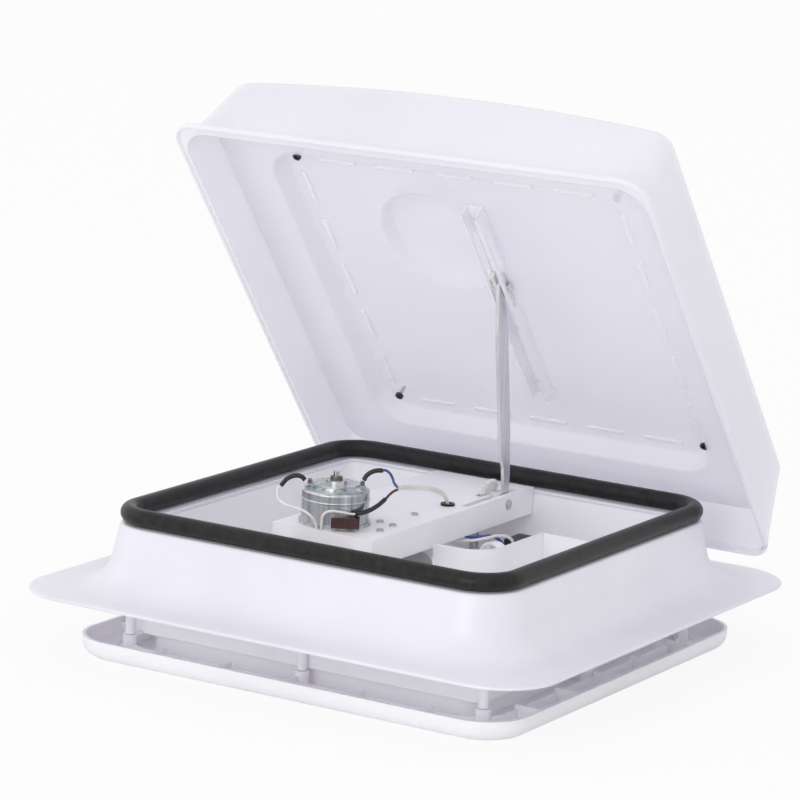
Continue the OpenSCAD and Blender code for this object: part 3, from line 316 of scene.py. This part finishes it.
# Motor end cap: pressed from sheet steel, zinc plated and passivated, crimped into the can.
# Passivated zinc: silvery with weak cyan and straw patches, 7 mm apart.
cap_metal, tree, shader, place = start_material("steel_passivated", {"Metallic": 1})
film = add_node(tree, "TexNoise", {"Scale": per_mm(7), "Detail": 3}, {"Vector": place})
shade(tree, shader, film.outputs["Fac"], "#a6b2b7", "#dcddda", (0.2, 0.36),
      film.outputs["Fac"], 0.05, edge=0.5)
dress(cap_metal, "motor_end_cap")

# Motor bush and terminals: a bush of sintered bronze pressed into the cap, and terminals stamped from
# dull bronze strip, riveted beside it.
# Sintered bronze: brown-grey, darkened by oil in its pores. They are drawn at 0.8 mm to show.
bronze, tree, shader, place = start_material("bronze_sintered", {"Metallic": 1})
pores = add_node(tree, "TexNoise", {"Scale": per_mm(0.8), "Detail": 3}, {"Vector": place})
shade(tree, shader, pores.outputs["Fac"], "#57504a", "#7f766b", (0.35, 0.5))
dress(bronze, "motor_bush", "motor_terminals")

# Suppressor: a wound block against the motor's can, held by its leads. It is dipped in dark
# red-brown lacquer.
# Dipped lacquer: deep and glossy, its colour drifting over 8 mm where the coat ran.
lacquer, tree, shader, place = start_material("lacquer_dipped", {"IOR": 1.52, "Coat Weight": 0.5})
runs = add_node(tree, "TexNoise", {"Scale": per_mm(8), "Detail": 3}, {"Vector": place})
shade(tree, shader, runs.outputs["Fac"], "#2a0f0c", "#43190f", (0.16, 0.3))
dress(lacquer, "suppressor_block")

# Motor shaft and the lift arm's tip pin: steel, ground and polished. The shaft runs in the motor's
# bush, and the pin is pressed into the arm.
# Polished steel: mirror bright, with a faint haze in spots of 2 mm from oil and handling.
polished, tree, shader, place = start_material("steel_polished", {"Metallic": 1})
haze = add_node(tree, "TexNoise", {"Scale": per_mm(2), "Detail": 3}, {"Vector": place})
shade(tree, shader, haze.outputs["Fac"], "#c9cbce", "#e6e8ea", (0.1, 0.2))
dress(polished, "motor_shaft", "tip_pin")


# Leads: stranded wire in PVC from terminal to feed cable, black sleeves over the joints, a flat
# two-core cable to the wiring compartment. Clipped at both ends, so they stay where they lie.
def lead(name, paths, radius, finish, node):
    curve = bpy.data.curves.new(name, "CURVE")
    curve.dimensions = "3D"
    curve.bevel_depth = radius * mm
    curve.bevel_resolution = 3
    curve.resolution_u = 8
    curve.use_fill_caps = True
    for path in paths:
        spline = curve.splines.new("BEZIER")
        spline.bezier_points.add(len(path) - 1)
        for knot, place in zip(spline.bezier_points, path):
            knot.co = Vector(place) * mm
            knot.handle_left_type = knot.handle_right_type = "AUTO"
    curve.materials.append(finish)
    piece = bpy.data.objects.new(name, curve)
    bpy.context.scene.collection.objects.link(piece)
    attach(piece, "base")
    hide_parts(node)


# The first two points of a lead that leaves a sleeve's end, straight on from it
def out_of(sleeve):
    end, straight = 0.1, 1.8
    last = Vector(sleeve[-1])
    onward = (last - Vector(sleeve[-2])).normalized()
    return [last + onward * end, last + onward * straight]


# Extruded PVC: smooth with a waxy gloss, a slow change of colour along the wire every 15 mm or so.
pvc = {}
for name, dull, pale in (("white", "#dedcda", "#ecebea"), ("red", "#4a1713", "#642019"),
                         ("blue", "#27407f", "#3c5aa0"), ("cream", "#dddad6", "#e9e6e2")):
    pvc[name], tree, shader, place = start_material("PVC_extruded_" + name, {"IOR": 1.53})
    drift = add_node(tree, "TexNoise", {"Scale": per_mm(15), "Detail": 2}, {"Vector": place})
    shade(tree, shader, drift.outputs["Fac"], dull, pale, (0.25, 0.4))

# Braided glass sleeving, varnished black: dull, with the braid as a fine diamond relief, 0.8 mm.
sleeving, tree, shader, place = start_material("glass_braid_varnished", {"IOR": 1.5})
braid = add_node(tree, "TexVoronoi", {"Scale": per_mm(0.8)}, {"Vector": place})
shade(tree, shader, braid.outputs["Distance"], "#161414", "#2b2726", (0.4, 0.6),
      braid.outputs["Distance"], 0.4, depth=0.2)

sleeve_r, lead_r, core_r = 1.9, 1.1, 1.3
left_sleeve = [(-61.8, -75, 91.6), (-64, -76, 94), (-68.5, -78.5, 95), (-74, -81, 92.5), (-79, -84, 86)]
right_sleeve = [(-21.1, -50.6, 93.8), (-19.3, -48.9, 97.8), (-14.5, -45.5, 101.5), (-8.7, -41.5, 102.3)]
red_sleeve = [(-12.5, -76, 71.5), (-8.8, -66, 72), (-6, -53, 75), (-6, -41, 78.5)]
lead("sleeves", [left_sleeve, right_sleeve, red_sleeve], sleeve_r, sleeving, "lead_sleeves")

left_lead = out_of(left_sleeve) + [
    (-80.2, -87, 81), (-76, -91, 76.5), (-66, -95.5, 74), (-52, -98.5, 73.5), (-41, -98, 69.5),
    (-37.5, -95.2, 63), (-37, -93.5, 58.5)]
lead("left_lead", [left_lead], lead_r, pvc["white"], "lead_white_left")
front_lead = [(-33, -93.5, 58.5), (-32.4, -94, 65), (-31, -94, 71), (-27, -92, 74), (-19.5, -85.5, 73.5)]
front_lead += out_of(red_sleeve[1::-1])[::-1]
lead("front_lead", [front_lead], lead_r, pvc["white"], "lead_white_front")
red_lead = out_of(red_sleeve) + [(-6.8, -34, 80.5), (-8, -25, 82), (-9.2, -17.2, 82)]
lead("red_lead", [red_lead], lead_r, pvc["red"], "lead_red")
blue_lead = out_of(right_sleeve) + [
    (-5.6, -36.5, 99.8), (-6, -31, 95), (-7.8, -24.5, 89), (-9.1, -17.6, 84.6)]
lead("blue_lead", [blue_lead], lead_r, pvc["blue"], "lead_blue")

cable = [(-9.2, -16.8, 83), (-11.5, -6, 81.5), (-12.5, 8, 79), (-10.5, 24, 76.5), (-7, 40, 72.5),
         (-3.4, 50.5, 66.5), (-2, 54, 58.5), (-2, 54, 48)]
upper_core, lower_core = Vector((0, 0, 1)), Vector((-0.3, 0.3, -1))
cores = [[Vector(point) + core for point in cable] for core in (upper_core, lower_core)]
lead("flat_cable", cores, core_r, pvc["cream"], "feed_cable")
blue_wire = [(37, 100, 18), (37, 93, 18.4), (36.4, 88, 22), (34, 82, 28.5), (29, 77, 32.5), (22, 71, 32),
             (12, 63, 32), (4, 58, 38), (-1.2, 55, 46)]
lead("blue_wire", [blue_wire], core_r, pvc["blue"], "box_lead_blue")
white_wire = [(44.5, 100, 18), (44.5, 93, 18.4), (45.4, 87, 24), (46, 78, 33), (42, 66, 37), (34, 58, 35),
              (22, 52, 32), (8, 50, 32), (1, 51, 38), (-3, 52.4, 45.9)]
lead("white_wire", [white_wire], core_r, pvc["white"], "box_lead_white")

# Terminal block and switch body: housings of black polyamide, injection moulded. The block lies in the
# wiring compartment, the switch behind the trim ring's panel.
# Moulded polyamide: satin black with faint flow marks, 6 mm apart.
black_plastic, tree, shader, place = start_material("polyamide_black_moulded", {"IOR": 1.53})
flow = add_node(tree, "TexNoise", {"Scale": per_mm(6), "Detail": 3}, {"Vector": place})
shade(tree, shader, flow.outputs["Fac"], "#141416", "#202023", (0.35, 0.5),
      flow.outputs["Fac"], 0.1, edge=0.4)
dress(black_plastic, "terminal_block", "switch_body")

# Fan, crank bush, gear sector and slide shoes: the pieces that run on others, moulded or cut from
# natural polyamide, which needs no oil.
# Natural polyamide: milky, a little translucent, with a greasy sheen and clouds of 20 mm.
nylon, tree, shader, place = start_material("polyamide_natural", {
    "IOR": 1.53, "Subsurface Weight": 0.3, "Subsurface Scale": 2 * mm})
flow = add_node(tree, "TexNoise", {"Scale": per_mm(20), "Detail": 3}, {"Vector": place})
shade(tree, shader, flow.outputs["Fac"], "#dcdbd9", "#e8e7e4", (0.32, 0.44),
      flow.outputs["Fac"], 0.05, edge=0.5)
dress(nylon, "fan_rotor", "crank_bush", "gear_sector", "slide_shoes")

# Trim ring under the ceiling with its screen frame, crank knob and handle: white ABS, moulded, screwed
# to the posts. A rail ties the inner ends of the ribs together and a low bead stiffens the trough.
# The trim ring, frame, knob and handle take the whiter ABS copy, as painted light.
dress(white["inside_painted_whiter"], "trim_ring", "screen_frame", "crank_knob", "crank_handle")
rail_mid, rail_foot, rail_edge = 140.5, -51.3, 0.5
mesh = bmesh.new()
for half, wide, top in ((173.5, 1.2, -44.5), (187.5, 0.9, -49.4)):
    near, far = half - wide, half + wide
    rail = [(near, rail_foot, near - rail_mid, 0), (near, top, near - rail_mid, rail_edge),
            (far, top, far - rail_mid, rail_edge), (far, rail_foot, far - rail_mid, 0)]
    rings = [rounded_ring(h, -h, h, corner, z, arc=12) for h, z, corner in softened(rail)]
    loft(mesh, rings, closed=True)
finish_piece("trough_rails", mesh, white["inside_painted_whiter"], "white_moulding", "base")

# Insect screen: plain-woven yarn welded at the crossings, held in the frame's groove, with a hole for
# the crank. Drawn as straight yarns, one layer across the other.
# PVC-coated glass yarn: dark grey, satin. The real mesh is 1.4 mm; it is drawn at 3.5 mm to show.
yarn, tree, shader, place = start_material("glass_yarn_coated", {"IOR": 1.5})
worn = add_node(tree, "TexNoise", {"Scale": per_mm(12), "Detail": 3}, {"Vector": place})
shade(tree, shader, worn.outputs["Fac"], "#3c3d40", "#515256", (0.45, 0.6))
pitch, thread, cloth_half, cloth_z = 3.5, 0.25, 146.4, -15.8
crank_y, crank_hole = 98, 9.5
layer = 0.8 * thread
square = [(-thread, -thread), (thread, -thread), (thread, thread), (-thread, thread)]
yarns = int(cloth_half / pitch)
mesh = bmesh.new()
for k in range(-yarns, yarns + 1):
    aside = k * pitch
    for crossways in (False, True):
        off, middle = (aside - crank_y, 0) if crossways else (aside, crank_y)
        runs = [(-cloth_half, cloth_half)]
        if abs(off) < crank_hole:
            reach = math.sqrt(crank_hole ** 2 - off ** 2)
            runs = [(-cloth_half, middle - reach), (middle + reach, cloth_half)]
        z = cloth_z + (layer if crossways else -layer)
        for run in runs:
            rings = [[Vector((aside + a, along, z + b)) for a, b in square] for along in run]
            if crossways:
                rings = [[p.yxz for p in ring] for ring in rings]
            loft(mesh, rings, caps=True)
finish_piece("woven_screen", mesh, yarn, "screen_cloth", "base", "insect_screen")

# Speed knob: a knob with a pointer, pushed on to the switch's shaft below the trim ring. Dark grey
# polyamide, injection moulded.
# Moulded grey polyamide: satin, with faint flow marks, 7 mm apart.
grey_plastic, tree, shader, place = start_material("polyamide_grey_moulded", {"IOR": 1.53})
flow = add_node(tree, "TexNoise", {"Scale": per_mm(7), "Detail": 3}, {"Vector": place})
shade(tree, shader, flow.outputs["Fac"], "#3b3b3f", "#4a4a4f", (0.4, 0.52),
      flow.outputs["Fac"], 0.1, edge=0.6)
dress(grey_plastic, "speed_knob")

# Lift arm: a bar blanked from 3 mm steel strip, its faces brushed lengthwise and zinc plated. It turns
# on the pivot pin in the bridge.
# Brushed and plated strip: pale satin metal, with lines 2.5 mm apart and finer, drawn out twenty times.
arm_metal, tree, shader, place = start_material("steel_strip_plated", {"Metallic": 0.85})
squeeze = add_node(tree, "Mapping", {"Scale": (1, 1, 0.05)}, {"Vector": place})
brushed = add_node(tree, "TexNoise", {"Scale": per_mm(2.5), "Detail": 4},
                   {"Vector": squeeze.outputs["Vector"]})
shade(tree, shader, brushed.outputs["Fac"], "#d2d4d8", "#e2e4e7", (0.38, 0.5),
      brushed.outputs["Fac"], 0.06, edge=0.4)
dress(arm_metal, "lift_arm")

# Lid dome: rim band, walls that lean in, an arched top with rounded shoulders, and hinge knuckles.
# Milky acrylic, drawn over a mould, walls of 2.5 mm. It is drawn here shut and then swung open.
# Opal acrylic scatters most light and lets the rest straight through: a soft bright body in which edges
# behind the sheet show faintly, glossy skin. The number is what one face holds back: more than half in
# the drawn wall, a third in the thinner tray, most in the thick pads and track.
opal = {}
for name, held, dull, pale in (("drawn", 0.62, "#f3f2f9", "#f9f8fd"), ("filled", 0.34, "#f8f7fd", "#fdfcff"),
                               ("thick", 0.8, "#fbfaff", "#fefdff")):
    opal[name], tree, shader, place = start_material("acrylic_opal_" + name, {"IOR": 1.49, "Alpha": held})
    haze = add_node(tree, "TexNoise", {"Scale": per_mm(140), "Detail": 2}, {"Vector": place})
    pull = add_node(tree, "TexNoise", {"Scale": per_mm(30), "Detail": 2}, {"Vector": place})
    shade(tree, shader, haze.outputs["Fac"], dull, pale, (0.42, 0.5), pull.outputs["Fac"], 0.03, 0.5, edge=1)

lid_open, lid_wall, lid_points = 51.3, 2.5, 10
rim_half, rim_z, rim_corner, band_top = 220, 36, 22, 41
rim_forward, rim_back = 2.5, 0.5
dome_half, dome_front, dome_rear = 217, -214.3, 215.6
draft, rear_draft = 10.5, 19
crown_z, arch_r = 130, 1616.3
round_high, round_in, rear_round = 15, 13, 0.7
least_corner, rear_corner, front_corner, corner_draft, corner_ease = 3, 10, 28, 11, 0.6


# Swings points drawn with the lid shut into the open lid
def swung(points):
    turn = Matrix.Rotation(math.radians(-lid_open), 3, "X")
    hinge = Vector((0, hinge_y, hinge_z))
    return [hinge + turn @ (p - hinge) for p in points]


# Height of the arched top over a point
def crown_top(point, inset):
    return crown_z - inset - point.x ** 2 / (2 * arch_r)


# One ring of the dome: share of the way up its wall, inset from its outside, draw over the shoulder
def crown_ring(share, inset, draw):
    off = draw + inset
    lean = draft * share
    rear = dome_rear - rear_draft * share - off - rear_round * min(draw, round_in)
    behind = max(least_corner, rear_corner - corner_ease * off)
    ahead = max(least_corner, front_corner - corner_draft * share - corner_ease * off)
    return rounded_ring(dome_half - lean - off, dome_front + lean + off, rear, behind, 0,
                        side=lid_points, front_corner=ahead)


# From the foot of the wall over the shoulder to the middle of the top
def dome_rings(inset):
    low = band_top - inset
    rings = []
    for share in (0, 0.33, 0.66):
        ring = crown_ring(share, inset, 0)
        for p in ring:
            p.z = low + (crown_top(p, inset) - round_high - low) * share
        rings.append(ring)
    for angle in range(0, 91, 15):
        turn = math.radians(angle)
        ring = crown_ring(1, inset, round_in * (1 - math.cos(turn)))
        for p in ring:
            p.z = crown_top(p, inset) - round_high * (1 - math.sin(turn))
        rings.append(ring)
    for draw in (30, 55, 90, 130, 165, 185):
        ring = crown_ring(1, inset, draw)
        for p in ring:
            p.z = crown_top(p, inset)
        rings.append(ring)
    return rings


# The rim band's section; its first and last points only steer the rounding of their neighbours
rim_in = rim_half - lid_wall
band_under = band_top - lid_wall
rim = [(dome_half, band_top, rim_corner + 3, 0), (rim_half, band_top, rim_corner, 1.2),
       (rim_half, rim_z, rim_corner, 1), (rim_in, rim_z, rim_corner - lid_wall, 1),
       (rim_in, band_under, rim_corner - lid_wall, 0.8),
       (dome_half - lid_wall, band_under, rim_corner + 3 - lid_wall, 0)]
rim_rings = [rounded_ring(half, -half - rim_forward, half + rim_back, corner, z, side=lid_points)
             for half, z, corner in softened(rim)]
mesh = bmesh.new()
outer, inner = dome_rings(0), dome_rings(lid_wall)
loft(mesh, [swung(r) for r in outer[::-1] + rim_rings[1:-1] + inner], caps=True)
knuckle_w = 13.4
knuckle = about_hinge(knuckle_r, 140, 320) + [(hinge_y + 5, 24), (219.5, 37), (219.5, 40), (211.5, 40)]
knuckle = [tuple(p.yz) for p in swung([Vector((0, y, z)) for y, z in knuckle])]
for x in (-knuckle_x, knuckle_x):
    prism(mesh, knuckle, x - knuckle_w / 2, x + knuckle_w / 2)
finish_piece("dome_shell", mesh, opal["drawn"], "milky_lid", "lid", "lid_dome")

# Lid tray: inner sheet with the sealing band, a step up to the flat middle, a recess over the motor
# and stiffening pads. The same opal acrylic, 2 mm, held by four screws; the slide track is screwed to it.
tray_half, step_out, step_in, flat_half = 207.5, 165.5, 163, 135
seal_z, tray_z, tray_thick, step_edge = 71, 90, 2, 2.5
front_short, rear_short = 2.5, 5.5
motor = Vector((-40, -62, 0))
recess = ((57, 90), (55, 90.3), (53.6, 91.3), (53, 93), (53, 103), (52.3, 105), (50.5, 106), (20, 106),
          (3, 106))
sheet = [(tray_half, seal_z, 24, 0), (step_out, seal_z, 31, step_edge), (step_in, tray_z, 28, step_edge),
         (flat_half, tray_z, 20, 0)]
rings = []
for half, z, corner in softened(sheet):
    band_share = max(0, (half - step_out) / (tray_half - step_out))
    front, rear = -half + front_short * band_share, half - rear_short * band_share
    rings.append(rounded_ring(half, front, rear, corner, z, side=lid_points))
flat_edge = rings[-1]
for radius, z in recess:
    ring = []
    for p in flat_edge:
        way = Vector((p.x - motor.x, p.y - motor.y, 0)).normalized()
        ring.append(motor + way * radius + Vector((0, 0, z)))
    rings.append(ring)
mesh = bmesh.new()
loft(mesh, [swung(r) for r in rings])
mesh.faces.new([mesh.verts.new(p * mm) for p in swung(rings[-1])])
tray = finish_piece("tray_sheet", mesh, opal["filled"], "milky_lid", "lid", "lid_tray")
thicken = tray.modifiers.new("thickness", "SOLIDIFY")
thicken.thickness = tray_thick * mm
thicken.offset = 1

pad_pitch, pad_long, pad_w, pad_low, pad_mid_y = 56, 36, 4, 88.5, 3
pad_x, pad_y, pad_sunk, pad_corner, pad_edge, pad_slope = 151, 148, 0.2, 1.2, 0.6, 1.4
mesh = bmesh.new()
for k in range(-2, 3):
    for side in (-1, 1):
        for x, y, wide, long in ((side * pad_x, pad_mid_y + k * pad_pitch, pad_w, pad_long),
                                 (k * pad_pitch, pad_mid_y + side * pad_y, pad_long, pad_w)):
            pad = [(wide / 2, tray_z + pad_sunk, pad_corner, 0), (wide / 2, pad_low, pad_corner, pad_edge),
                   (wide / 2 - pad_slope, pad_low, pad_edge, 0)]
            rings = []
            for half, z, corner in softened(pad):
                reach = long / 2 - wide / 2 + half
                ring = rounded_ring(half, -reach, reach, min(corner, 1), z, arc=3, side=0)
                rings.append(swung([p + Vector((x, y, 0)) for p in ring]))
            loft(mesh, rings, caps=True)
finish_piece("tray_pads", mesh, opal["thick"], "milky_lid", "lid")
dress(opal["thick"], "slide_track")

# Studio: pale floor, white surround, one broad lamp low in front and a weak one from the left, and the
# camera where the photograph was taken. Lengths are in metres from here on.
bpy.ops.mesh.primitive_plane_add(size=12, location=(0, 0, cad_box[0][2]))
floor = bpy.context.object
floor.name = "studio_floor"
# White paper: to the camera mostly its own white, so that only a weak shadow of the vent shows.
paper = bpy.data.materials.new("paper_white")
paper.use_nodes = True
tree = paper.node_tree
tree.nodes.clear()
pure_white, paper_glow = (1, 1, 1, 1), 0.86
ray = add_node(tree, "LightPath")
plain = add_node(tree, "BsdfDiffuse", {"Color": linear("#f4f4f4")})
glow = add_node(tree, "Emission", {"Color": pure_white, "Strength": 1})
seen = add_node(tree, "Math", {"operation": "MULTIPLY"}, {0: ray.outputs["Is Camera Ray"]})
seen.inputs[1].default_value = paper_glow
mix = add_node(tree, "MixShader", {}, {0: seen.outputs[0], 1: plain.outputs[0], 2: glow.outputs[0]})
add_node(tree, "OutputMaterial", {}, {"Surface": mix.outputs[0]})
floor.data.materials.append(paper)

scene = bpy.context.scene
scene.view_settings.view_transform = "Standard"
scene.cycles.max_bounces = scene.cycles.transparent_max_bounces = 32
scene.cycles.diffuse_bounces = 16
# White surround: full white to the camera, in metal and through glass, a little less as light.
world = bpy.data.worlds.new("studio")
world.use_nodes = True
tree = world.node_tree
tree.nodes.clear()
ray = add_node(tree, "LightPath")
either = add_node(tree, "Math", {"operation": "MAXIMUM"},
                  {0: ray.outputs["Is Camera Ray"], 1: ray.outputs["Is Glossy Ray"]})
any_ray = add_node(tree, "Math", {"operation": "MAXIMUM"},
                   {0: either.outputs[0], 1: ray.outputs["Is Transmission Ray"]})
level = add_node(tree, "MapRange", {"To Min": 0.9, "To Max": 1.0}, {"Value": any_ray.outputs[0]})
sky = add_node(tree, "Background", {"Color": pure_white}, {"Strength": level.outputs["Result"]})
add_node(tree, "OutputWorld", {}, {"Surface": sky.outputs[0]})
scene.world = world

lamp_aim = Vector((0, 0, 0.2))
for name, place, size, power in (("front", (0.2, -2.5, 0.6), 1.4, 14), ("left", (-2.6, -0.9, 1.2), 1.8, 5)):
    lamp = bpy.data.lights.new(name, "AREA")
    lamp.size = size
    lamp.energy = power
    holder = bpy.data.objects.new(name, lamp)
    holder.location = place
    holder.rotation_euler = (lamp_aim - Vector(place)).to_track_quat("-Z", "Y").to_euler()
    scene.collection.objects.link(holder)

azimuth, elevation, roll = math.radians(30.85), math.radians(11.40), math.radians(-2.74)
distance, beside, above = 3.1377, -0.01779, 0.15174
photo_px, focal_px, sensor_mm = 800, 3813.16, 36
back = Vector((math.sin(azimuth) * math.cos(elevation), -math.cos(azimuth) * math.cos(elevation),
               math.sin(elevation)))
right = Vector((math.cos(azimuth), math.sin(azimuth), 0))
up = back.cross(right)
view = bpy.data.cameras.new("photo_view")
view.sensor_width = sensor_mm
view.lens = focal_px / photo_px * sensor_mm
view.clip_end = 50
camera = bpy.data.objects.new("photo_view", view)
across = right * math.cos(roll) - up * math.sin(roll)
upward = right * math.sin(roll) + up * math.cos(roll)
camera.matrix_world = (Matrix.Translation(back * distance + right * beside + up * above)
                       @ Matrix((across, upward, back)).transposed().to_4x4())
scene.collection.objects.link(camera)
scene.camera = camera
